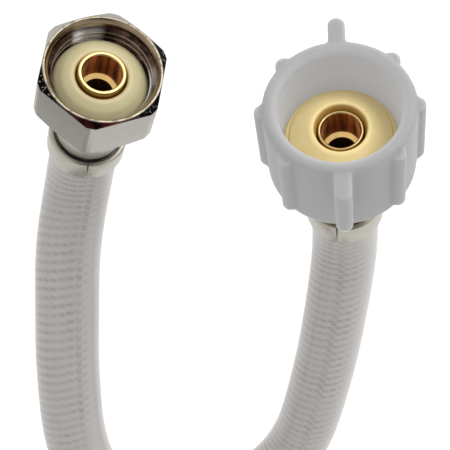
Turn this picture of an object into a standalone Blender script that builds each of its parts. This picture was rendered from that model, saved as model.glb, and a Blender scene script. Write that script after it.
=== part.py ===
"""Flexible toilet connector: a braid-reinforced vinyl hose with a hexagonal
valve nut at one end and a large winged tank nut at the other.

The frame's origin is the centre of the tank nut's open mouth, +Z out of it.
Lengths below are in millimetres and become metres where they are used.
"""
import math

import bmesh
import bpy
from mathutils import Matrix, Vector

MM = 0.001

# Where the valve end stands once the hose is bent round: its mouth and its tilt.
HEX_MOUTH = (-43.987, 8.554, 3.342)
HEX_TILT_X = 3.3
HEX_TILT_Y = 16.6

# Valve nut, for the 1/2 in thread of a stop valve.
HEX_FLATS = 23.0
HEX_RIM_R = 11.3
HEX_CORNER_R = 13.1
HEX_HEIGHT = 11.35
HEX_PHASE = -7.5
HEX_BORE_R = 9.75
NECK_END = 25.35

# Tank nut, for the 7/8 in thread of a fill valve.
TANK_NUT_R = 14.6
TANK_NUT_HEIGHT = 21.0
TANK_BORE_R = 11.6
WING_REACH = 5.3
RIB_REACH = 1.5
RIB_THICK = 3.0

# Crimp rings, alike at both ends but for their length.
FERRULE_R = 8.05
FERRULE_WALL = 0.65
SLIT = 0.45

# Three layers of hose, each given by its outer radius and wall.
LINER = (5.55, 0.80)
BRAID = (6.15, 0.30)
JACKET = (7.10, 0.65)
HOSE_POINTS = 34

# The hose's centre line: down from the tank nut, round the bend, up to the valve nut.
ROUTE = [
    (0, 0, -36.9), (0, 0, -45.9), (-0.5, -2.2, -56.1), (-2, -6.7, -66.3), (-3.7, -10.9, -75.4),
    (-5.6, -15, -84.4), (-7.9, -19.2, -93.4), (-10.1, -22.6, -101.4), (-12.9, -25.8, -109.7),
    (-17.5, -29.4, -117.4), (-24.4, -33, -123.6), (-33.2, -36.6, -126.3), (-42.4, -39.6, -125),
    (-50.8, -41.3, -120.2), (-57.6, -41.2, -112.7), (-62.2, -39, -102.9), (-64.4, -34.8, -93.7),
    (-64.9, -30, -84.9), (-64.4, -24.6, -76.4), (-63.6, -18.8, -68.5), (-62.5, -12.4, -61.1),
    (-61.7, -7.1, -55.7), (-60.3, -0.7, -49.3), (-57.2, 7.2, -40.3), (-53.98, 10.57, -30.19),
    (-51.7, 10.11, -22.54),
]

for old in list(bpy.data.objects):
    bpy.data.objects.remove(old, do_unlink=True)

parts = bpy.data.collections.new("toilet_connector")
cutters = bpy.data.collections.new("cutters")
bpy.context.scene.collection.children.link(parts)
bpy.context.scene.collection.children.link(cutters)


def material(name, color, roughness, metallic=0.0):
    """A plain material in the colour the part has."""
    mat = bpy.data.materials.new(name)
    mat.use_nodes = True
    shader = mat.node_tree.nodes["Principled BSDF"]
    shader.inputs["Base Color"].default_value = (*color, 1.0)
    shader.inputs["Roughness"].default_value = roughness
    shader.inputs["Metallic"].default_value = metallic
    mat.diffuse_color = (*color, 1.0)
    return mat


NICKEL = material("nickel_plate", (0.44, 0.42, 0.38), 0.22, 1.0)
BRASS = material("brass", (0.72, 0.52, 0.22), 0.25, 1.0)
TIN = material("tinned_steel", (0.45, 0.44, 0.42), 0.3, 1.0)
GREY_PLASTIC = material("grey_plastic", (0.38, 0.38, 0.37), 0.45)
CREAM_RUBBER = material("cream_rubber", (0.70, 0.58, 0.34), 0.6)
GREY_VINYL = material("grey_vinyl", (0.40, 0.38, 0.35), 0.35)
YARN = material("polyester_yarn", (0.55, 0.53, 0.50), 0.8)
CLEAR_VINYL = material("clear_vinyl", (0.46, 0.46, 0.44), 0.4)


def empty(name, place, turn):
    """A named point that one end of the connector hangs from."""
    obj = bpy.data.objects.new(name, None)
    obj.location = Vector(place) * MM
    obj.rotation_euler = turn
    parts.objects.link(obj)
    return obj


def add_mesh(name, bm, group):
    """Turn a bmesh into an object in the given collection."""
    mesh = bpy.data.meshes.new(name)
    bm.to_mesh(mesh)
    bm.free()
    obj = bpy.data.objects.new(name, mesh)
    group.objects.link(obj)
    return obj


def turned(name, outline, mat, parent, steps=48):
    """Revolve a closed outline of (radius, depth below the mouth) about the end's axis.

    The outline runs down the outer side and back up the inner one.
    """
    bm = bmesh.new()
    verts = [bm.verts.new((r * MM, 0.0, -depth * MM)) for r, depth in outline]
    for i, vert in enumerate(verts):
        bm.edges.new((vert, verts[(i + 1) % len(verts)]))
    obj = add_mesh(name, bm, parts)
    obj.data.materials.append(mat)
    obj.parent = parent
    screw = obj.modifiers.new("Turn", "SCREW")
    screw.axis = "Z"
    screw.angle = math.tau
    screw.steps = steps
    screw.render_steps = steps
    screw.use_merge_vertices = True
    screw.merge_threshold = 0.00001
    screw.use_normal_calculate = True
    return obj


def combine(target, cutter, operation):
    """Apply a hidden cutter to a part with an exact boolean."""
    cutter.parent = target.parent
    cutter.hide_render = True
    cutter.display_type = "WIRE"
    boolean = target.modifiers.new(operation.title(), "BOOLEAN")
    boolean.operation = operation
    boolean.solver = "EXACT"
    boolean.object = cutter


def hexagon(name, flats, top, bottom, phase):
    """A six-sided prism whose flats are the given distance apart."""
    bm = bmesh.new()
    radius = flats / 2 / math.cos(math.radians(30)) * MM
    place = Matrix.Translation((0, 0, -(top + bottom) / 2 * MM)) @ Matrix.Rotation(
        math.radians(phase), 4, "Z")
    bmesh.ops.create_cone(bm, cap_ends=True, segments=6, radius1=radius, radius2=radius,
                          depth=(bottom - top) * MM, matrix=place)
    return add_mesh(name, bm, cutters)


def rib(bm, angle, inner, outer, top, bottom):
    """Add one upright rib with a rounded outer edge and softened ends."""
    half = RIB_THICK / 2
    half_step = math.pi / 16
    made = bmesh.ops.create_cone(
        bm, cap_ends=True, segments=16, radius1=half * MM, radius2=half * MM,
        depth=(bottom - top) * MM, matrix=Matrix.Rotation(half_step, 4, "Z"))
    verts = made["verts"]
    for vert in verts:
        vert.co.x += (outer - half) * MM
        if vert.co.x < (outer - half) * MM:
            vert.co.x -= (outer - half - inner) * MM
    ends = [f for f in bm.faces if all(v in verts for v in f.verts) and abs(f.normal.z) > 0.9]
    rims = list({e for f in ends for e in f.edges})
    softened = bmesh.ops.bevel(bm, geom=rims, offset=0.6 * MM, segments=2, affect="EDGES",
                               profile=0.5)
    moved = {v for f in softened["faces"] for v in f.verts}
    moved |= {v for v in verts if v.is_valid}
    bmesh.ops.transform(bm, verts=list(moved), matrix=Matrix.Translation(
        (0, 0, -(top + bottom) / 2 * MM)))
    bmesh.ops.rotate(bm, verts=list(moved), matrix=Matrix.Rotation(math.radians(angle), 3, "Z"))


def split_ring(name, top, length, lip_r, slit_angle, parent):
    """A crimp ring rolled from strip, its top edge turned in and its seam left open."""
    inner = FERRULE_R - FERRULE_WALL
    end = top + length
    obj = turned(name, [
        (lip_r, top + 0.1), (lip_r + 0.15, top), (7.6, top), (7.93, top + 0.15),
        (FERRULE_R, top + 0.5), (FERRULE_R, end - 0.25), (FERRULE_R - 0.2, end),
        (inner + 0.15, end), (inner, end - 0.15), (inner, top + 0.85),
        (inner - 0.1, top + 0.7), (lip_r + 0.1, top + 0.65), (lip_r, top + 0.55),
    ], TIN, parent, steps=64)
    bm = bmesh.new()
    bmesh.ops.create_cube(bm, size=1.0, matrix=Matrix.Rotation(
        math.radians(slit_angle), 4, "Z") @ Matrix.Translation(
        (FERRULE_R * MM, 0, -(top + length / 2) * MM)) @ Matrix.Diagonal(
        (4 * MM, SLIT * MM, (length + 2) * MM, 1)))
    combine(obj, add_mesh(name + "_slit", bm, cutters), "DIFFERENCE")
    return obj


def natural_spline(points, count):
    """Read a natural cubic through hand-placed points at evenly spaced stations."""
    station = [0.0]
    for a, b in zip(points, points[1:]):
        station.append(station[-1] + math.dist(a, b))
    step = [b - a for a, b in zip(station, station[1:])]
    last = len(points) - 1
    bends = []
    for axis in range(3):
        value = [p[axis] for p in points]
        diag = [1.0] * (last + 1)
        right = [0.0] * (last + 1)
        upper = [0.0] * (last + 1)
        for i in range(1, last):
            slope = (value[i + 1] - value[i]) / step[i] - (value[i] - value[i - 1]) / step[i - 1]
            diag[i] = 2 * (step[i - 1] + step[i]) - step[i - 1] * upper[i - 1]
            upper[i] = step[i] / diag[i]
            right[i] = (6 * slope - step[i - 1] * right[i - 1]) / diag[i]
        bend = [0.0] * (last + 1)
        for i in range(last - 1, 0, -1):
            bend[i] = right[i] - upper[i] * bend[i + 1]
        bends.append(bend)
    found = []
    for k in range(count):
        s = station[-1] * k / (count - 1)
        i = 0
        while i < last - 1 and s > station[i + 1]:
            i += 1
        a = (station[i + 1] - s) / step[i]
        b = 1 - a
        found.append(tuple(
            a * points[i][n] + b * points[i + 1][n]
            + ((a ** 3 - a) * bends[n][i] + (b ** 3 - b) * bends[n][i + 1]) * step[i] ** 2 / 6
            for n in range(3)))
    return found


def hose_layer(name, layer, mat):
    """One open-ended tube along the hose, its wall grown inward."""
    outer, wall = layer
    curve = bpy.data.curves.new(name, "CURVE")
    curve.dimensions = "3D"
    curve.twist_mode = "MINIMUM"
    curve.bevel_depth = outer * MM
    curve.bevel_resolution = 4
    curve.use_fill_caps = False
    points = natural_spline(ROUTE, HOSE_POINTS)
    spline = curve.splines.new("POLY")
    spline.points.add(len(points) - 1)
    for point, place in zip(spline.points, points):
        point.co = (*(Vector(place) * MM), 1.0)
    obj = bpy.data.objects.new(name, curve)
    parts.objects.link(obj)
    curve.materials.append(mat)
    shell = obj.modifiers.new("Wall", "SOLIDIFY")
    shell.thickness = wall * MM
    shell.offset = -1.0
    shell.use_even_offset = True
    return obj


tank_end = empty("tank_end", (0, 0, 0), (0, 0, 0))
valve_tilt = Matrix.Rotation(math.radians(HEX_TILT_Y), 3, "Y") @ Matrix.Rotation(
    math.radians(HEX_TILT_X), 3, "X")
valve_end = empty("valve_end", HEX_MOUTH, valve_tilt.to_euler())

# Valve nut: a turned blank with both ends chamfered, milled to a hexagon, on a long neck.
corner_drop = (HEX_CORNER_R - HEX_RIM_R) * math.tan(math.radians(27))
hex_nut = turned("hex_nut", [
    (11.0, 0), (HEX_RIM_R, 0), (HEX_CORNER_R, corner_drop),
    (HEX_CORNER_R, HEX_HEIGHT - corner_drop), (HEX_RIM_R, HEX_HEIGHT), (9.5, HEX_HEIGHT),
    (9.5, 13.3), (9.2, 13.6), (7.15, 16.7), (7.0, 17.3), (6.75, NECK_END - 0.4),
    (6.35, NECK_END), (5.4, NECK_END), (5.4, 9.9), (HEX_BORE_R, 9.9), (HEX_BORE_R, 1.1),
], NICKEL, valve_end, steps=72)
combine(hex_nut, hexagon("hex_flats", HEX_FLATS, -2, 28, HEX_PHASE), "INTERSECT")

# Cone washer that seals on the stop valve's outlet.
turned("hex_washer", [
    (5.0, 3.0), (5.2, 2.7), (5.8, 2.75), (7.6, 3.75), (9.0, 4.9), (9.35, 5.4),
    (9.35, 7.0), (9.05, 7.4), (5.0, 7.4),
], CREAM_RUBBER, valve_end)

# Valve stem: a counterbored tip, a flange the nut pulls on, and a barbed tail in the hose.
turned("hex_stem", [
    (4.0, 1.6), (4.55, 1.6), (4.7, 1.8), (4.7, 7.7), (8.0, 7.7), (8.2, 7.9), (8.2, 9.4),
    (8.0, 9.6), (5.0, 9.6), (5.0, 26.0), (4.5, 26.4), (4.0, 26.4), (4.2, 28.3), (3.75, 28.4),
    (4.2, 30.6), (3.75, 30.7), (4.2, 32.9), (3.8, 33.5), (3.0, 33.5), (3.0, 9.3),
    (3.75, 8.6), (3.75, 1.9),
], BRASS, valve_end)

split_ring("hex_ferrule", 26.05, 5.6, 7.1, -88, valve_end)

# Tank nut: a round cup with a soft lip, two finger wings and six grip ribs.
tank_nut = turned("tank_nut", [
    (12.35, 0), (13.4, 0), (14.0, 0.16), (14.44, 0.6), (TANK_NUT_R, 1.2),
    (TANK_NUT_R, TANK_NUT_HEIGHT - 0.7), (TANK_NUT_R - 0.7, TANK_NUT_HEIGHT),
    (5.8, TANK_NUT_HEIGHT), (5.5, TANK_NUT_HEIGHT - 0.3), (5.5, 18.5), (TANK_BORE_R, 18.5),
    (TANK_BORE_R, 0.9), (11.85, 0.45),
], GREY_PLASTIC, tank_end, steps=72)
ribs = bmesh.new()
for turn in range(8):
    is_wing = turn in (2, 6)
    reach = WING_REACH if is_wing else RIB_REACH
    rib(ribs, turn * 45, 13.0, TANK_NUT_R + reach, 0.35 if is_wing else 1.3,
        13.3 if is_wing else 19.0)
combine(tank_nut, add_mesh("ribs", ribs, cutters), "UNION")

# Tank washer: a broad cone with a dimple round the stem.
turned("tank_washer", [
    (4.75, 10.2), (5.2, 10.1), (5.9, 9.35), (6.3, 9.2), (6.9, 9.35), (10.0, 11.35),
    (10.2, 11.65), (10.8, 12.05), (11.15, 12.6), (11.15, 14.1), (10.3, 15.4), (4.75, 15.4),
], CREAM_RUBBER, tank_end)

turned("tank_stem", [
    (4.0, 9.3), (4.3, 9.3), (4.45, 9.5), (4.45, 15.7), (9.3, 15.7), (9.5, 15.9), (9.5, 17.9),
    (9.3, 18.1), (5.0, 18.1), (5.0, 35.3), (4.5, 35.7), (4.0, 35.7), (4.2, 38.2),
    (3.75, 38.3), (4.2, 40.8), (3.75, 40.9), (4.2, 43.4), (3.8, 44.1), (3.0, 44.1),
    (3.0, 17.1), (3.75, 16.3), (3.75, 9.55),
], BRASS, tank_end)

split_ring("tank_ferrule", 35.8, 5.8, 7.1, -103, tank_end)

# Hose: a grey vinyl liner, the yarn braid that takes the pressure, a clear vinyl jacket.
hose_layer("hose_liner", LINER, GREY_VINYL)
hose_layer("hose_braid", BRAID, YARN)
hose_layer("hose_jacket", JACKET, CLEAR_VINYL)

# Turned and moulded faces are smooth, with crisp edges kept at the machined corners.
for obj in parts.objects:
    if obj.type == "MESH":
        obj.data.shade_smooth()
        obj.data.set_sharp_from_angle(angle=math.radians(35))
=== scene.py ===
# %% [markdown]
# # A flexible toilet supply connector
#
# The connector joins a stop valve in the wall to the fill valve under a toilet tank. It is
# a vinyl hose with a yarn braid in its wall, a plated hexagonal nut on the valve end and a
# winged plastic nut on the tank end. This lesson loads the solid model of it as a frame and
# dresses that frame: soft edges, screw threads, braid, brass, plating and moulded plastic.
#
# All lengths in the outlines below are in millimetres, as on a maker's drawing, and `MM`
# turns them into metres where they are used. `TO_MM` turns a measured length back.

# %% Load the frame
import math

import bpy
from mathutils import Matrix, Vector


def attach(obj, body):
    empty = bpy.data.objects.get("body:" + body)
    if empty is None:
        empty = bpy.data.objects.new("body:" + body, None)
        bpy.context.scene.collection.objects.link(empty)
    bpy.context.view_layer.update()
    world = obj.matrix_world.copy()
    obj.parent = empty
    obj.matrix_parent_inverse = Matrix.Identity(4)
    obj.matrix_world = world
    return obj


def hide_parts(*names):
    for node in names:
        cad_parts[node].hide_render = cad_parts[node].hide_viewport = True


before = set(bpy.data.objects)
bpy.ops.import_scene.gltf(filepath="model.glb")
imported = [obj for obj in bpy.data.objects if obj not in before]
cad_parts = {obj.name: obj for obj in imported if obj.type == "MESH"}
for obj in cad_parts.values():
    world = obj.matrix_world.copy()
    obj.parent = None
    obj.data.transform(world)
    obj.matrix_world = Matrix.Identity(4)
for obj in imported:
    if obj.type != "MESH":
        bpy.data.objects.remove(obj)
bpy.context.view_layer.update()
MM = 0.001
TO_MM = 1000.0

# %% [markdown]
# ## The camera
#
# The connector is seen from above and a little in front, as it would lie in the hand of
# someone looking into both nuts. A long lens keeps the two nuts in proportion. The camera is
# placed by its three directions, because those are easier to reason about than angles.

# %% Place the camera
CAMERA_AT = (0.00123, -0.14202, 0.22994)
camera_data = bpy.data.cameras.new("camera")
camera = bpy.data.objects.new("camera", camera_data)
bpy.context.scene.collection.objects.link(camera)
to_right = Vector((0.9952, 0.0, -0.0974))
to_top = Vector((0.0443, 0.8906, 0.4527))
towards_viewer = to_right.cross(to_top)
turn = Matrix((to_right, to_top, towards_viewer)).transposed().to_4x4()
camera.matrix_world = Matrix.Translation(CAMERA_AT) @ turn
camera_data.sensor_width = 36.0
camera_data.lens = 116.0
camera_data.clip_start = 0.01
bpy.context.scene.camera = camera
print("camera stands at", [round(x, 3) for x in camera.matrix_world.translation])

# %% [markdown]
# ## The hose's route
#
# A hose is a fixed length of something springy. It leaves each crimp ring in line with its
# stem, leans forward, and turns back on itself in one round bend. The points are listed and a
# natural cubic is read through them, which bends as evenly as a springy hose does.
# Straight runs joined by arcs would look like bent wire.

# %% Read a smooth line through the route
ROUTE = [
    (0, 0, -36.9), (0, 0, -45.9), (-0.5, -2.2, -56.1), (-2, -6.7, -66.3), (-3.7, -10.9, -75.4),
    (-5.6, -15, -84.4), (-7.9, -19.2, -93.4), (-10.1, -22.6, -101.4), (-12.9, -25.8, -109.7),
    (-17.5, -29.4, -117.4), (-24.4, -33, -123.6), (-33.2, -36.6, -126.3), (-42.4, -39.6, -125),
    (-50.8, -41.3, -120.2), (-57.6, -41.2, -112.7), (-62.2, -39, -102.9), (-64.4, -34.8, -93.7),
    (-64.9, -30, -84.9), (-64.4, -24.6, -76.4), (-63.6, -18.8, -68.5), (-62.5, -12.4, -61.1),
    (-61.7, -7.1, -55.7), (-60.3, -0.7, -49.3), (-57.2, 7.2, -40.3), (-53.98, 10.57, -30.19),
    (-51.7, 10.11, -22.54),
]


def natural_spline(points, count):
    """Read a natural cubic through the points at evenly spaced stations."""
    station = [0.0]
    for a, b in zip(points, points[1:]):
        station.append(station[-1] + math.dist(a, b))
    step = [b - a for a, b in zip(station, station[1:])]
    last = len(points) - 1
    bends = []
    for axis in range(3):
        value = [p[axis] for p in points]
        upper = [0.0] * (last + 1)
        right = [0.0] * (last + 1)
        for i in range(1, last):
            slope = (value[i + 1] - value[i]) / step[i] - (value[i] - value[i - 1]) / step[i - 1]
            pivot = 2 * (step[i - 1] + step[i]) - step[i - 1] * upper[i - 1]
            upper[i] = step[i] / pivot
            right[i] = (6 * slope - step[i - 1] * right[i - 1]) / pivot
        bend = [0.0] * (last + 1)
        for i in range(last - 1, 0, -1):
            bend[i] = right[i] - upper[i] * bend[i + 1]
        bends.append(bend)
    found = []
    for k in range(count):
        s = station[-1] * k / (count - 1)
        i = 0
        while i < last - 1 and s > station[i + 1]:
            i += 1
        a = (station[i + 1] - s) / step[i]
        b = 1 - a
        found.append(Vector(
            a * points[i][n] + b * points[i + 1][n]
            + ((a ** 3 - a) * bends[n][i] + (b ** 3 - b) * bends[n][i + 1]) * step[i] ** 2 / 6
            for n in range(3)) * MM)
    return found


centre_line = natural_spline(ROUTE, 240)
hose_length = sum((b - a).length for a, b in zip(centre_line, centre_line[1:]))
print("hose is", round(hose_length * TO_MM, 1), "mm long")

# %% [markdown]
# ## The hose jacket
#
# The jacket is the clear vinyl skin over the braid. A curve with a round bevel follows the
# route exactly, and turning it into a mesh gives it a UV map for free: U runs along the hose
# and V runs round it, which is what a braid pattern needs. Solidify then grows the wall
# inward, so the outer size stays true.

# %% Sweep the jacket
HOSE_R = 7.1
JACKET_WALL = 0.65


def pick(piece):
    """Select one piece alone and make it active."""
    bpy.ops.object.select_all(action="DESELECT")
    piece.select_set(True)
    bpy.context.view_layer.objects.active = piece
    return piece


def apply_modifier(piece, kind, **settings):
    """Add a modifier with these settings and apply it at once."""
    pick(piece)
    modifier = piece.modifiers.new(kind.title(), kind)
    for name, value in settings.items():
        setattr(modifier, name, value)
    bpy.ops.object.modifier_apply(modifier=modifier.name)


curve = bpy.data.curves.new("hose", "CURVE")
curve.dimensions = "3D"
curve.twist_mode = "MINIMUM"
curve.bevel_depth = HOSE_R * MM
curve.bevel_resolution = 14
curve.use_fill_caps = False
line = curve.splines.new("POLY")
line.points.add(len(centre_line) - 1)
for point, place in zip(line.points, centre_line):
    point.co = (*place, 1.0)
hose = bpy.data.objects.new("hose", curve)
bpy.context.scene.collection.objects.link(hose)
pick(hose)
bpy.ops.object.convert(target="MESH")
hose = bpy.context.object
apply_modifier(hose, "SOLIDIFY", thickness=JACKET_WALL * MM, offset=-1.0, use_even_offset=True)
bpy.ops.object.shade_smooth_by_angle(angle=math.radians(40))
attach(hose, "hose_assembly")
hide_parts("hose_jacket")
print("hose has", len(hose.data.polygons), "faces")

# %% [markdown]
# ## Drawing and spinning
#
# Nearly every rigid piece was made on a lathe or in a round mould. Each is drawn as half of
# its section: one vertex is extruded from corner to corner, the corners are rounded with a
# vertex bevel, as a real tool leaves them, and the outline is spun once round the axis. The
# depth of a point is measured down from the mouth of its nut.

# %% A lathe made of edit-mode steps
VALVE_PLACE = (
    Matrix.Translation((-0.043987, 0.008554, 0.003342))
    @ Matrix.Rotation(math.radians(16.6), 4, "Y")
    @ Matrix.Rotation(math.radians(3.3), 4, "X")
)
TANK_PLACE = Matrix.Identity(4)


def draw(name, outline):
    """Draw a closed outline of (radius, depth) by extruding one vertex round it."""
    bpy.ops.object.select_all(action="DESELECT")
    bpy.ops.mesh.primitive_plane_add(size=1.0)
    piece = bpy.context.object
    piece.name = name
    piece.data.name = name
    bpy.ops.object.mode_set(mode="EDIT")
    bpy.ops.mesh.select_all(action="SELECT")
    bpy.ops.mesh.merge(type="CENTER")
    radius, depth = outline[0]
    bpy.ops.transform.translate(value=(radius * MM, 0, -depth * MM))
    for (r0, d0), (r1, d1) in zip(outline, [*outline[1:], outline[0]]):
        bpy.ops.mesh.extrude_region_move(
            TRANSFORM_OT_translate={"value": ((r1 - r0) * MM, 0, (d0 - d1) * MM)})
    bpy.ops.mesh.select_all(action="SELECT")
    bpy.ops.mesh.remove_doubles(threshold=0.000001)
    return piece


def lathe(name, outline, place, corner=0.15, steps=128):
    """Spin a rounded outline into a solid and put it in its place."""
    piece = draw(name, outline)
    bpy.ops.mesh.bevel(offset=corner * MM, segments=3, affect="VERTICES")
    bpy.ops.mesh.select_all(action="SELECT")
    bpy.ops.mesh.spin(steps=steps, angle=math.tau, center=(0, 0, 0), axis=(0, 0, 1))
    bpy.ops.mesh.select_all(action="SELECT")
    bpy.ops.mesh.remove_doubles(threshold=0.000002)
    bpy.ops.mesh.normals_make_consistent(inside=False)
    bpy.ops.object.mode_set(mode="OBJECT")
    return settle(piece, place)


def settle(piece, place):
    """Move the piece to its end of the hose and keep the place in its mesh."""
    pick(piece)
    piece.matrix_world = place
    bpy.ops.object.transform_apply(location=True, rotation=True, scale=True)
    bpy.ops.object.shade_smooth_by_angle(angle=math.radians(32))
    return piece


def stand_for(piece, node, body):
    """Let the piece ride on its body in place of the plain solid."""
    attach(piece, body)
    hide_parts(node)
    print(piece.name, "has", len(piece.data.polygons), "faces")


UP = Vector((0, 0, 1))
lean = math.degrees((VALVE_PLACE.to_3x3() @ UP).angle(UP))
print("the valve nut leans", round(lean, 1), "degrees from the tank nut")

# %% [markdown]
# ## The washers
#
# Each nut presses a soft cone washer on to the pipe it screws to. The valve washer is a low
# cone that falls away from the stem. The tank washer is broad, and its lip stands a little
# higher than the stem inside it. Both are single turned outlines with rounded corners.

# %% Turn the washers
valve_washer = lathe("valve_washer", [
    (5.0, 2.75), (5.9, 2.65), (7.6, 3.6), (8.9, 4.75), (9.35, 5.5), (9.35, 7.4), (5.0, 7.4),
], VALVE_PLACE, corner=0.3)
stand_for(valve_washer, "hex_washer", "hose_assembly")

tank_washer = lathe("tank_washer_cone", [
    (4.6, 10.8), (5.1, 8.6), (5.4, 8.25), (6.1, 8.5), (9.9, 11.25), (10.05, 11.65),
    (10.7, 12.0), (11.15, 12.6), (11.15, 14.1), (10.3, 15.4), (4.6, 15.4),
], TANK_PLACE, corner=0.16)
stand_for(tank_washer, "tank_washer", "hose_assembly")

# %% [markdown]
# ## The brass stems
#
# A stem is turned from brass rod. Its tip stands proud of the washer, a counterbore runs down
# to a chamfered step, and a smaller bore goes on into the hose. A flange holds it in the nut
# and barbs grip the hose where the crimp ring squeezes it.

# %% Turn the stems
FLANGE_THICK = 2.1
BARB_PITCH = 2.2
COUNTERBORE_R = 3.75
BORE_R = 3.0
VALVE_STEP = 8.6
TANK_STEP = 16.3


def stem_outline(tip, tip_r, flange_top, flange_r, shoulder, step_depth, end):
    """The section of one stem, from its tip down the outside and back up the bore."""
    flange_low = flange_top + FLANGE_THICK
    outline = [
        (4.0, tip), (tip_r - 0.15, tip), (tip_r, tip + 0.3), (tip_r, flange_top),
        (flange_r, flange_top), (flange_r, flange_low), (5.0, flange_low), (5.0, shoulder),
        (4.0, shoulder + 0.4),
    ]
    barb = shoulder + 0.4
    while barb + BARB_PITCH < end:
        outline += [(4.2, barb + 2.0), (3.75, barb + BARB_PITCH)]
        barb += BARB_PITCH
    outline += [
        (3.8, end), (BORE_R, end), (BORE_R, step_depth + 0.75), (COUNTERBORE_R, step_depth),
        (COUNTERBORE_R, tip + 0.35),
    ]
    return outline


valve_stem = lathe("valve_stem", stem_outline(
    tip=1.6, tip_r=4.7, flange_top=7.7, flange_r=8.2, shoulder=26.0, step_depth=VALVE_STEP,
    end=33.5), VALVE_PLACE, corner=0.1)
stand_for(valve_stem, "hex_stem", "hose_assembly")
tank_stem = lathe("tank_stem_tube", stem_outline(
    tip=9.3, tip_r=4.45, flange_top=15.8, flange_r=9.5, shoulder=35.3, step_depth=TANK_STEP,
    end=44.1), TANK_PLACE, corner=0.1)
stand_for(tank_stem, "tank_stem", "hose_assembly")

# %% [markdown]
# ## The crimp rings
#
# A crimp ring is a strip of plated steel rolled round the hose until its ends meet, with the
# top edge turned in. The seam stays open by a hair and one lower corner is nipped off. The
# ring is spun whole and the seam is then cut by a thin blade and a small drill.

# %% Roll and slit the crimp rings
RING_MIDDLE_R = 7.8
SEAM_WIDTH = 0.3
NIP_R = 0.55
NIP_ASIDE = 0.45
TOOL_REACH = 3.0


def cut(piece, tool):
    """Take a tool's shape away from a piece and throw the tool away."""
    apply_modifier(piece, "BOOLEAN", operation="DIFFERENCE", solver="EXACT", object=tool)
    bpy.data.objects.remove(tool, do_unlink=True)


def crimp_ring(name, top, length, seam_angle, place):
    """One rolled ring with its seam turned to the given angle."""
    end = top + length
    piece = lathe(name, [
        (7.0, top), (7.75, top), (8.05, top + 0.35), (8.05, end), (7.45, end),
        (7.4, top + 0.7), (7.0, top + 0.6),
    ], Matrix.Identity(4), corner=0.12)
    turn = Matrix.Rotation(math.radians(seam_angle), 4, "Z")
    middle = -(top + length / 2) * MM
    bpy.ops.mesh.primitive_cube_add(
        size=1.0, scale=(TOOL_REACH * MM, SEAM_WIDTH * MM, (length + 1) * MM))
    blade = bpy.context.object
    blade.matrix_world = turn @ Matrix.Translation(
        (RING_MIDDLE_R * MM, 0, middle)) @ blade.matrix_world
    cut(piece, blade)
    bpy.ops.mesh.primitive_cylinder_add(
        vertices=24, radius=NIP_R * MM, depth=TOOL_REACH * MM)
    drill = bpy.context.object
    drill.matrix_world = turn @ Matrix.Translation(
        (RING_MIDDLE_R * MM, NIP_ASIDE * MM, -end * MM)) @ Matrix.Rotation(
            math.radians(90), 4, "Y")
    cut(piece, drill)
    return settle(piece, place)


valve_ring = crimp_ring("valve_crimp_ring", top=26.05, length=5.6, seam_angle=-88,
                        place=VALVE_PLACE)
stand_for(valve_ring, "hex_ferrule", "hose_assembly")
tank_ring = crimp_ring("tank_crimp_ring", top=35.8, length=5.8, seam_angle=-103,
                       place=TANK_PLACE)
stand_for(tank_ring, "tank_ferrule", "hose_assembly")

# %% [markdown]
# ## The valve nut
#
# The nut starts as a turned blank with both ends chamfered and a long thin neck. Six flats
# are then milled on it, which is what cuts the chamfer into the familiar curved corners. Here
# the blank is spun, and a Boolean keeps only what lies inside a six-sided bar. A bevel breaks
# the edges as plating and tumbling do.
#
# The thread is a helix, 14 turns to the inch. One tooth is drawn and the Screw modifier winds
# it down the bore. A thread starts gently, so the ridge grows out of the wall over its first
# third of a turn.

# %% Turn, mill and thread the valve nut
FLAT = 11.5
CORNER = 12.8
BAR_TURN = -7.5
BAR_LENGTH = 60.0
THREAD_PITCH = 1.814
THREAD_STEPS = 96
LEAD_STEPS = 30


def wind_thread(name, root, crest, top, turns, place):
    """A helical ridge inside a bore, one tooth wound down it."""
    tooth = [
        (root, top + 0.05 * THREAD_PITCH), (crest, top + 0.42 * THREAD_PITCH),
        (crest, top + 0.54 * THREAD_PITCH), (root, top + 0.95 * THREAD_PITCH),
    ]
    piece = draw(name, tooth)
    bpy.ops.object.mode_set(mode="OBJECT")
    apply_modifier(piece, "SCREW", axis="Z", angle=math.tau, screw_offset=-THREAD_PITCH * MM,
                   iterations=turns, steps=THREAD_STEPS, render_steps=THREAD_STEPS,
                   use_merge_vertices=False)
    for index, vert in enumerate(piece.data.vertices):
        grown = min(1.0, index // len(tooth) / LEAD_STEPS)
        to_wall = root * MM / math.hypot(vert.co.x, vert.co.y)
        vert.co.x *= to_wall + (1 - to_wall) * grown
        vert.co.y *= to_wall + (1 - to_wall) * grown
    bpy.ops.object.mode_set(mode="EDIT")
    bpy.ops.mesh.select_all(action="SELECT")
    bpy.ops.mesh.remove_doubles(threshold=0.000002)
    bpy.ops.mesh.fill_holes(sides=8)
    bpy.ops.mesh.normals_make_consistent(inside=False)
    bpy.ops.object.mode_set(mode="OBJECT")
    return settle(piece, place @ Matrix.Rotation(math.radians(-90), 4, "Z"))


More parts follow.
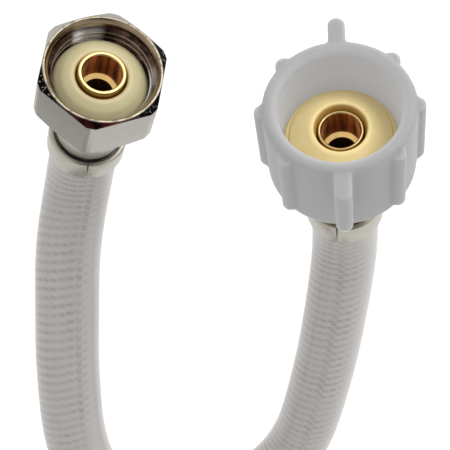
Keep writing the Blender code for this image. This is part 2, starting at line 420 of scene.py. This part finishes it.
valve_nut = lathe("valve_nut_shell", [
    (11.08, 0), (11.3, 0), (CORNER, 0.8), (CORNER, 10.55), (11.3, 11.35), (9.6, 11.35),
    (9.5, 13.5), (7.1, 16.9), (6.75, 25.35), (5.4, 25.35), (5.4, 9.9), (10.4, 9.9), (10.4, 0.9),
], Matrix.Identity(4), corner=0.08, steps=144)
bpy.ops.mesh.primitive_cylinder_add(
    vertices=6, radius=FLAT / math.cos(math.radians(30)) * MM, depth=BAR_LENGTH * MM,
    rotation=(0, 0, math.radians(BAR_TURN)))
bar = bpy.context.object
apply_modifier(valve_nut, "BOOLEAN", operation="INTERSECT", solver="EXACT", object=bar)
bpy.data.objects.remove(bar, do_unlink=True)
apply_modifier(valve_nut, "BEVEL", width=0.18 * MM, segments=3, limit_method="ANGLE",
               angle_limit=math.radians(20))
settle(valve_nut, VALVE_PLACE)
stand_for(valve_nut, "hex_nut", "valve_nut")

valve_thread = wind_thread("valve_nut_thread", root=10.46, crest=9.45, top=0.95, turns=3,
                           place=VALVE_PLACE)
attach(valve_thread, "valve_nut")
print(valve_thread.name, "has", len(valve_thread.data.polygons), "faces")

# %% [markdown]
# ## The tank nut
#
# This nut is moulded in one piece: a cup, six slim grip ribs, two finger wings and a shallow
# thread, all melting into each other. Fillets on so many crossing edges are awkward to bevel
# one by one, so the simple solids are joined, fused by a fine voxel Remesh, and smoothed. The
# smoothing is what gives the soft moulded corners.

# %% Fuse the moulded nut
NUT_R = 14.6
RIB_HALF = 1.65
VOXEL = 0.3


def add_rib(angle, reach, top, bottom):
    """One upright rib: a cylinder stretched inward until it is buried in the wall."""
    bpy.ops.object.select_all(action="DESELECT")
    bpy.ops.mesh.primitive_cylinder_add(vertices=32, radius=RIB_HALF * MM,
                                        depth=(bottom - top) * MM)
    rib = bpy.context.object
    centre = NUT_R + reach - RIB_HALF
    bpy.ops.object.mode_set(mode="EDIT")
    bpy.ops.mesh.select_all(action="DESELECT")
    bpy.ops.object.mode_set(mode="OBJECT")
    for vert in rib.data.vertices:
        vert.select = vert.co.x < -1e-6
    bpy.ops.object.mode_set(mode="EDIT")
    bpy.ops.transform.translate(value=((NUT_R - centre) * MM, 0, 0))
    bpy.ops.object.mode_set(mode="OBJECT")
    return settle(rib, Matrix.Rotation(math.radians(angle), 4, "Z") @ Matrix.Translation(
        (centre * MM, 0, -(top + bottom) / 2 * MM)))


nut_cup = lathe("tank_nut_moulding", [
    (12.5, 0), (13.7, 0), (NUT_R, 0.9), (NUT_R, 20.4), (14.0, 21.0), (5.5, 21.0), (5.5, 18.5),
    (11.7, 18.5), (11.7, 0.8),
], TANK_PLACE, corner=0.35)
nut_thread = wind_thread("nut_thread", root=11.85, crest=11.5, top=2.2, turns=6,
                         place=TANK_PLACE)
joined = [nut_cup, nut_thread]
for eighth in range(8):
    if eighth % 4 == 2:
        joined.append(add_rib(eighth * 45, reach=5.3, top=0.35, bottom=13.3))
    else:
        joined.append(add_rib(eighth * 45, reach=1.5, top=1.2, bottom=19.0))
bpy.ops.object.select_all(action="DESELECT")
for solid in joined:
    solid.select_set(True)
bpy.context.view_layer.objects.active = nut_cup
bpy.ops.object.join()
apply_modifier(nut_cup, "REMESH", mode="VOXEL", voxel_size=VOXEL * MM)
apply_modifier(nut_cup, "SMOOTH", factor=0.5, iterations=5)
bpy.ops.object.shade_smooth()
stand_for(nut_cup, "tank_nut", "tank_nut_body")

# %% [markdown]
# ## Writing shaders as arithmetic
#
# A finish is easier to read as an expression than as a web of nodes. `Value` wraps one socket,
# and adding, multiplying or comparing two of them lays down the Math node that does it.
# `Tree.make` lays down any other node from its type, its settings and its inputs.

# %% A small language for materials


class Value:
    """One socket of a node tree, on which arithmetic adds Math nodes."""

    def __init__(self, tree, socket):
        self.tree = tree
        self.socket = socket

    def math(self, operation, *inputs):
        """Lay down one Math node."""
        return self.tree.make("Math", {"operation": operation}, dict(enumerate(inputs)))

    def output(self, name):
        """Another output of the node that this value comes from."""
        return Value(self.tree, self.socket.node.outputs[name])

    def __add__(self, other):
        return self.math("ADD", self, other)

    def __radd__(self, other):
        return self.math("ADD", other, self)

    def __sub__(self, other):
        return self.math("SUBTRACT", self, other)

    def __rsub__(self, other):
        return self.math("SUBTRACT", other, self)

    def __mul__(self, other):
        return self.math("MULTIPLY", self, other)

    def __rmul__(self, other):
        return self.math("MULTIPLY", other, self)

    def __truediv__(self, other):
        return self.math("DIVIDE", self, other)

    def sine(self):
        """The sine of this value counted in whole turns."""
        return self.math("SINE", self * math.tau)

    def size(self):
        """This value without its sign."""
        return self.math("ABSOLUTE", self)

    def fraction(self):
        """What this value has over the whole number below it."""
        return self.math("FRACT", self)

    def fold(self, top):
        """This value rising from 0 to top and falling back again, over and over."""
        return self.math("PINGPONG", self, top)

    def fade(self, start, end):
        """0 before start, 1 past end, and a smooth step between them."""
        return self.tree.make("MapRange", {"interpolation_type": "SMOOTHSTEP"},
                              {"Value": self, "From Min": start, "From Max": end})


class Tree:
    """A node tree and the methods that add nodes to it."""

    def __init__(self, owner):
        owner.use_nodes = True
        self.nodes = owner.node_tree.nodes
        self.links = owner.node_tree.links

    def make(self, kind, settings=None, inputs=None, out=0):
        """Add a node of this kind and return one of its outputs."""
        node = self.nodes.new("ShaderNode" + kind)
        for name, value in (settings or {}).items():
            if name == "stops":
                ramp = node.color_ramp
                while len(ramp.elements) < len(value):
                    ramp.elements.new(0.5)
                for element, (place, color) in zip(ramp.elements, value):
                    element.position = place
                    element.color = (*color, 1.0)
            else:
                setattr(node, name, value)
        for key, value in (inputs or {}).items():
            self.feed(node.inputs[key], value)
        return Value(self, node.outputs[out])

    def feed(self, socket, value):
        """Link a Value to a socket, or set a plain number or colour on it."""
        if isinstance(value, Value):
            self.links.new(value.socket, socket)
        elif isinstance(value, tuple) and len(socket.default_value) == 4:
            socket.default_value = (*value, 1.0)
        else:
            socket.default_value = value

    def vector(self, operation, *inputs, out="Vector"):
        """Lay down one Vector Math node."""
        return self.make("VectorMath", {"operation": operation}, dict(enumerate(inputs)),
                         out=out)

    def mix(self, factor, a, b):
        """Blend two colours."""
        return self.make("Mix", {"data_type": "RGBA"}, {0: factor, 6: a, 7: b}, out=2)

    def noise(self, scale, detail=2.0, vector=None):
        """Noise from 0 to 1 that is fixed to the piece."""
        vector = vector or self.make("TexCoord", out="Object")
        return self.make("TexNoise", inputs={"Vector": vector, "Scale": scale,
                                             "Detail": detail})


class Finish(Tree):
    """A Principled material under construction."""

    def __init__(self, name, **fixed):
        self.material = bpy.data.materials.new(name)
        super().__init__(self.material)
        self.shader = self.nodes["Principled BSDF"]
        self.set(**fixed)

    def set(self, **sockets):
        """Set sockets of the shader; an underscore in a name stands for a space."""
        for name, value in sockets.items():
            self.feed(self.shader.inputs[name.replace("_", " ")], value)

    def bump(self, height, strength, distance):
        """Raise the surface by a height map, distance in millimetres."""
        self.set(Normal=self.make("Bump", inputs={
            "Height": height, "Strength": strength, "Distance": distance * MM}, out="Normal"))

    def paint(self, *pieces):
        """Give the pieces this finish and no other."""
        for piece in pieces:
            piece.data.materials.clear()
            piece.data.materials.append(self.material)


def offset_from(tree, place):
    """Where a point of the piece lies, counted from the mouth of a nut."""
    return tree.vector("SUBTRACT", tree.make("TexCoord", out="Object"), place.translation)


def distance_along(tree, place, direction):
    """How far a point lies from a nut's mouth in one of the nut's own directions."""
    return tree.vector("DOT_PRODUCT", offset_from(tree, place), place.to_3x3() @ direction,
                       out="Value")


def squeeze_along(tree, place, share):
    """The space round a nut's mouth, squeezed along the nut's axis to this share."""
    lost = distance_along(tree, place, UP) * (1 - share)
    return tree.vector("SUBTRACT", offset_from(tree, place), tree.vector(
        "MULTIPLY", place.to_3x3() @ UP, lost))


def depth_in(tree, place):
    """Depth below a nut's mouth in millimetres."""
    return distance_along(tree, place, UP) * -TO_MM


def radius_in(tree, place):
    """Distance from a nut's axis in millimetres."""
    return tree.vector("LENGTH", squeeze_along(tree, place, 0.0), out="Value") * TO_MM


print("steps a value offers:", ", ".join(
    name for name in vars(Value) if not name.startswith("_")))

# %% [markdown]
# ## Vinyl over braid
#
# Under the clear jacket lies a braid of 24 strands. Where strands cross they leave soft dark
# dashes, in rows about 2 mm apart that climb round the hose in a shallow helix. The lighter
# lines between the rows are the braid's pattern with a painted sheen of the yarn. The jacket
# is smooth, so the braid is colour and a faint ripple, not deep relief. U counts rows along
# the hose and V counts strands round it, in whole numbers, so the pattern meets itself on the
# way round. Each leg has one side that is painted lighter, a painted sheen where the light
# falls, and there hardly any dashes show. Each leg also has a line of knots near the middle
# of its front. The sheen and the knots lie on other sides of the two legs, and change over at
# the bottom of the bend.

# %% Colour the hose
ROW_PITCH = 2.0
STRANDS = 24
STARTS = 5
FRONT = 0.665
rows = round(hose_length * TO_MM / ROW_PITCH)

vinyl = Finish("braided_vinyl", Roughness=0.34, Coat_Weight=0.35, Coat_Roughness=0.18)
u = vinyl.make("SeparateXYZ", inputs={0: vinyl.make("UVMap", {"uv_map": "UVMap"})})
v = u.output("Y")
left_leg = u.fade(0.46, 0.54)
facing = (v - FRONT) * (left_leg * 2 - 1)
# Painted sheen: one side of each leg is lighter, where the light falls, and the braid fades
# there.
sheen_side = facing.sine()
off_sheen = 1 - sheen_side.fade(0.05, 0.85) * 0.85
patchy = vinyl.noise(160.0, 3.0).fade(0.3, 0.7)
wobble = vinyl.noise(60.0) * 0.5
across = (v * STRANDS).fraction()
climb = u * rows - v * STARTS + wobble + across * 0.16
dash = across.fold(0.5).fade(0.02, 0.22)
wave = climb.sine() * 0.5 + 0.5
dark = wave.fade(0.45, 1.0) * (0.25 + 0.75 * dash) * (0.3 + 0.7 * patchy) * off_sheen
# Lighter lines between the rows: the braid's pattern with a painted sheen of the yarn.
light = (1 - wave).fade(0.7, 1.0) * off_sheen
crossing = facing - (left_leg * 0.073 - 0.047)
column = 1 - crossing.size().fade(0.004, 0.022)
knots = column * (u * rows + 0.3).sine().fade(-0.3, 0.9) * (0.35 + 0.65 * patchy)
color = vinyl.mix(dark * 0.68, (0.43, 0.405, 0.388), (0.285, 0.267, 0.243))
color = vinyl.mix(light * 0.35, color, (0.48, 0.462, 0.447))
# Painted sheen on the side of each leg where the light falls.
color = vinyl.mix((1 - off_sheen) * 0.8, color, (0.47, 0.45, 0.435))
color = vinyl.mix(knots * 0.6, color, (0.24, 0.22, 0.19))
vinyl.set(Base_Color=color)
vinyl.bump(wave * off_sheen, 0.12, 0.04)
vinyl.paint(hose)
print("braid of", STRANDS, "strands shows", rows, "rows in", STARTS, "starts")

# %% [markdown]
# ## The layers beneath
#
# The yarn and the inner hose show only at the crimp rings, deep in a gap. They are coloured
# dark, as things in a deep gap look.

# %% Colour the yarn and the inner hose
yarn = Finish("polyester_yarn", Roughness=0.8)
yarn.set(Base_Color=yarn.mix(yarn.noise(900.0), (0.20, 0.19, 0.18), (0.30, 0.29, 0.27)))
yarn.paint(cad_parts["hose_braid"])
core = Finish("grey_vinyl", Roughness=0.4)
core.set(Base_Color=core.mix(core.noise(300.0), (0.045, 0.042, 0.04), (0.07, 0.066, 0.06)))
core.paint(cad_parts["hose_liner"])
print("layers beneath the jacket:", yarn.material.name, core.material.name)

# %% [markdown]
# ## Nickel plate
#
# Nickel plate is a mirror with the faint waviness of the metal beneath. Inside the nut its
# reflections are painted into the colour: a dark brown painted shade, thread crests painted
# lighter as highlights, and a paler band at the lead of the thread. `lobe` picks out the side
# of the nut that faces a given angle. With it one flat is painted darker as a dark
# reflection, the bore gets two painted highlight streaks, and the chamfer is painted with a
# dark red and black reflection on the near side and speckled beyond it. All of them turn
# with the nut.

# %% Plate the valve nut
nickel = Finish("nickel_plate", Metallic=1.0)
depth = depth_in(nickel, VALVE_PLACE)
radius = radius_in(nickel, VALVE_PLACE)
inside = (1 - radius.fade(11.0, 11.1)) * (1 - depth.fade(11.0, 12.0))
rim = 1 - depth.fade(0.03, 0.16)
chamfer = radius.fade(11.42, 11.5) * (1 - depth.fade(0.72, 0.85))
neck = depth.fade(13.4, 14.4)
mottle = nickel.noise(180.0, 4.0)
grain = nickel.noise(2600.0, 3.0)
shade_mottle = nickel.noise(500.0, 4.0)


def lobe(angle, start, end):
    """1 on the side of the nut that faces this angle, counted round its own axis."""
    bearing = math.radians(angle)
    side = Vector((math.cos(bearing), math.sin(bearing), 0))
    return (distance_along(nickel, VALVE_PLACE, side) * TO_MM / radius).fade(start, end)


dark_chamfer_side = lobe(290, -0.45, -0.2)
# Two painted highlight streaks in the bore.
highlight_streak = lobe(108, 0.93, 0.995)
pale = lobe(346, 0.8, 0.97)
shaded = lobe(232.5, 0.855, 0.875) * radius.fade(11.3, 11.45)
# Thread crests painted lighter and roots darker, as painted highlight and shade.
crest = 1 - radius.fade(9.48, 9.75)
lead = 1 - depth.fade(0.85, 1.05)
color = nickel.mix(mottle, (0.43, 0.415, 0.375), (0.53, 0.51, 0.465))
color = nickel.mix((1 - grain.fade(0.34, 0.5)) * 0.3, color, (0.33, 0.32, 0.29))
# One flat painted darker, a painted dark reflection.
color = nickel.mix(shaded * 0.75, color, (0.20, 0.19, 0.165))
# Inside the nut: dark brown painted shade, lighter crests, painted highlight streaks, paler lead
# band.
brown = nickel.mix(shade_mottle.fade(0.35, 0.65), (0.018, 0.01, 0.007), (0.10, 0.055, 0.035))
brown = nickel.mix(crest * 0.5, brown, (0.34, 0.27, 0.20))
brown = nickel.mix(highlight_streak * (0.3 + 0.7 * radius.fade(10.3, 9.7)), brown, (1.0, 0.97, 0.92))
brown = nickel.mix(pale * (0.25 + 0.75 * crest), brown, (0.62, 0.59, 0.53))
brown = nickel.mix(lead * 0.9, brown, nickel.mix(
    shade_mottle, (0.20, 0.13, 0.08), (0.40, 0.31, 0.21)))
color = nickel.mix(inside, color, brown)
color = nickel.mix(rim * 0.9, color, nickel.mix(
    nickel.noise(700.0, 5.0).fade(0.42, 0.5), (0.17, 0.14, 0.09), (0.36, 0.32, 0.23)))
# Painted dark reflection on the chamfer: dark red and black on the near side, speckled beyond
# it.
near_side = lobe(267, 0.72, 0.86)
chamfer_painted_dark = nickel.mix(shade_mottle.fade(0.38, 0.62) * near_side, (0.004, 0.003, 0.003),
                   (0.09, 0.014, 0.014))
speckle = nickel.noise(1800.0, 2.0).fade(0.6, 0.68) * (1 - near_side)
color = nickel.mix(chamfer * dark_chamfer_side, color, nickel.mix(speckle, chamfer_painted_dark, (0.22, 0.22, 0.19)))
color = nickel.mix(neck, color, (0.56, 0.535, 0.475))
nickel.set(Base_Color=color, Roughness=0.36 + 0.12 * mottle - inside * 0.24)
nickel.bump(grain, 0.3, 0.06)
nickel.paint(valve_nut, valve_thread)
print(nickel.material.name, "has", len(nickel.nodes), "nodes")

# %% [markdown]
# ## Brass
#
# The stems are bare brass. The bore wall is painted reddish and dark, a painted reflection
# and shade. Light that has bounced many times lights the bore and the ledge at the foot of
# the counterbore. A render follows only a few bounces, so both are given a glow of their
# own, and that of the ledge is strong. From the depth `covered` down the stem is painted
# dark, a painted shade, so the gap at each crimp ring reads as deep.

# %% Polish the stems
STREAK_SHARE = 0.06

for label, place, stem, step, covered in (
        ("valve", VALVE_PLACE, valve_stem, VALVE_STEP, 25.4),
        ("tank", TANK_PLACE, tank_stem, TANK_STEP, 35.6)):
    brass = Finish(label + "_brass", Metallic=1.0, Emission_Strength=1.0)
    depth = depth_in(brass, place)
    radius = radius_in(brass, place)
    wall = radius.fade(3.6, 3.7) * (1 - radius.fade(3.78, 3.95)) * (1 - depth.fade(
        step - 0.15, step))
    ledge = depth.fade(step - 0.1, step) * (1 - depth.fade(step + 0.7, step + 0.85)) * (
        1 - radius.fade(3.74, 3.8))
    streak = brass.noise(700.0, 3.0, squeeze_along(brass, place, STREAK_SHARE))
    hidden = depth.fade(covered, covered + 0.2)
    color = brass.mix(streak, (0.46, 0.33, 0.13), (0.58, 0.44, 0.22))
    # The bore wall is painted reddish and dark, a painted reflection and shade.
    color = brass.mix(wall * 0.9, color, brass.mix(
        streak.fade(0.3, 0.7), (0.12, 0.02, 0.008), (0.46, 0.17, 0.055)))
    # Painted shade from just above the crimp ring downward.
    color = brass.mix(hidden, color, (0.01, 0.009, 0.006))
    glow = brass.mix(wall, (0.0, 0.0, 0.0), brass.mix(
        streak.fade(0.4, 0.7), (0.012, 0.002, 0.001), (0.09, 0.02, 0.006)))
    glow = brass.mix(ledge, glow, brass.mix(streak, (0.42, 0.29, 0.10), (0.66, 0.50, 0.22)))
    brass.set(Base_Color=color, Roughness=0.26 + 0.16 * streak, Emission_Color=glow)
    brass.paint(stem)
    print(brass.material.name, "has", len(brass.nodes), "nodes")

# %% [markdown]
# ## Tinned steel
#
# The crimp rings are dull tinned steel, a little uneven from handling. The edge that is
# turned in round the hose is dark, where little light reaches it.

# %% Tin the crimp rings
for label, place, ring in (
        ("valve", VALVE_PLACE, valve_ring),
        ("tank", TANK_PLACE, tank_ring)):
    tin = Finish(label + "_tinned_steel", Metallic=1.0)
    radius = radius_in(tin, place)
    wear = tin.noise(400.0, 4.0)
    color = tin.mix(wear, (0.36, 0.34, 0.29), (0.50, 0.48, 0.42))
    color = tin.mix((1 - radius.fade(7.05, 7.3)) * 0.95, color, (0.05, 0.04, 0.02))
    tin.set(Base_Color=color, Roughness=0.22 + 0.2 * wear)
    tin.bump(tin.noise(900.0, 2.0), 0.15, 0.08)
    tin.paint(ring)
    print(tin.material.name, "has", len(tin.nodes), "nodes")

# %% [markdown]
# ## Rubber
#
# The washers are matt cream rubber with the fine bloom that moulding leaves. The valve
# washer's colours are darker, a painted shade from the nut round it. The rubber close to a
# stem is painted with light reflected from the brass, and the tank washer is painted darker,
# as shade, at the small step round the foot of its cone.

# %% Mould the washers
FOOT_R = 10.0

# The valve washer's colours are darker, a painted shade from its nut.
for label, place, edge, piece, pale, deep in (
        ("valve_rubber", VALVE_PLACE, 5.0, valve_washer, (0.56, 0.50, 0.30), (0.48, 0.42, 0.23)),
        ("tank_rubber", TANK_PLACE, 4.9, tank_washer, (0.83, 0.67, 0.33), (0.75, 0.59, 0.26))):
    rubber = Finish(label, Specular_IOR_Level=0.4)
    bloom = rubber.noise(350.0, 4.0)
    radius = radius_in(rubber, place)
    # Painted light reflected from the brass, close to the stem.
    lit_by_brass = 1 - radius.fade(edge, edge + 0.5)
    # Painted shade in the small step round the foot of the cone.
    foot = radius.fade(FOOT_R - 0.25, FOOT_R - 0.05) * (
        1 - radius.fade(FOOT_R + 0.05, FOOT_R + 0.25))
    color = rubber.mix(foot * 0.6, rubber.mix(bloom, deep, pale), (0.66, 0.48, 0.17))
    color = rubber.mix(lit_by_brass, color, (0.50, 0.28, 0.06))
    rubber.set(Base_Color=color, Roughness=0.42 + 0.2 * bloom)
    rubber.bump(rubber.noise(1500.0, 2.0), 0.15, 0.05)
    rubber.paint(piece)
    print(rubber.material.name, "has", len(rubber.nodes), "nodes")

# %% [markdown]
# ## Plastic
#
# The tank nut is translucent polypropylene: light goes in a little way and comes out again,
# which softens its shadows. It is given scatter beneath the skin, and a glow of its own for
# the light that many bounces would bring, stronger on the inner wall.

# %% Mould the tank nut's plastic
plastic = Finish("translucent_plastic", Subsurface_Weight=0.9, Subsurface_Scale=0.004,
                 Subsurface_Radius=(1.0, 1.0, 1.0), Specular_IOR_Level=0.25,
                 Emission_Strength=0.4)
inner = 1 - radius_in(plastic, TANK_PLACE).fade(11.6, 13.2)
cloud = plastic.noise(70.0, 3.0)
plastic.set(Base_Color=plastic.mix(cloud, (0.20, 0.20, 0.20), (0.225, 0.225, 0.225)),
            Emission_Color=plastic.mix(inner, (0.39, 0.39, 0.39), (0.68, 0.68, 0.695)),
            Roughness=0.55 + 0.1 * cloud)
plastic.bump(plastic.noise(600.0, 3.0), 0.15, 0.05)
plastic.paint(nut_cup)
print(plastic.material.name, "has", len(plastic.nodes), "nodes")

# %% [markdown]
# ## The studio
#
# A plain white floor well below the piece keeps shadows away from it. The sky of the studio is
# a soft white dome, a little darker near the horizon, with one dark patch above and in front.
# These give the plated faces something to reflect. One large lamp gives the highlights their
# direction.

# %% Light the set
FLOOR_LEVEL = -0.32
DARK_PATCH = Vector((0.32, -0.72, 0.62)).normalized()
LAMP_TARGET = Vector((0, 0, -0.02))

bpy.ops.object.select_all(action="DESELECT")
bpy.ops.mesh.primitive_plane_add(size=8.0, location=(0, 0, FLOOR_LEVEL))
floor = bpy.context.object
floor.name = "floor"
paper = Finish("white_paper", Roughness=0.9)
paper.set(Base_Color=paper.mix(paper.noise(3.0), (0.90, 0.90, 0.90), (0.92, 0.92, 0.92)))
paper.paint(floor)

world = bpy.data.worlds.new("studio")
bpy.context.scene.world = world
sky = Tree(world)
towards = sky.make("TexCoord", out="Generated")
height = sky.make("SeparateXYZ", inputs={0: towards}).output("Z")
glow = sky.make("ValToRGB", {"stops": [
    (0.0, (0.8, 0.8, 0.8)), (0.5, (0.72, 0.72, 0.71)), (0.62, (0.75, 0.75, 0.75)),
    (0.8, (1.05, 1.05, 1.05))]}, {0: height * 0.5 + 0.5})
patch = sky.vector("DOT_PRODUCT", towards, DARK_PATCH, out="Value").fade(0.80, 0.95)
glow = sky.mix(patch * 0.9, glow, (0.05, 0.035, 0.03))
sky.feed(sky.nodes["Background"].inputs["Color"], glow)
sky.nodes["Background"].inputs["Strength"].default_value = 1.04

lamp_data = bpy.data.lights.new("softbox", "AREA")
lamp_data.shape = "RECTANGLE"
lamp_data.size = 0.8
lamp_data.size_y = 0.5
lamp_data.energy = 6.0
lamp = bpy.data.objects.new("softbox", lamp_data)
lamp.location = (0.5, 0.25, 0.75)
to_target = LAMP_TARGET - lamp.location
lamp.rotation_euler = to_target.to_track_quat("-Z", "Y").to_euler()
bpy.context.scene.collection.objects.link(lamp)
bpy.context.scene.view_settings.view_transform = "Standard"
print("floor at", FLOOR_LEVEL, "m, lamp of", lamp_data.energy, "W")

# %% [markdown]
# ## The size
#
# Dressing must not change the connector's dimensions.

# %% The end
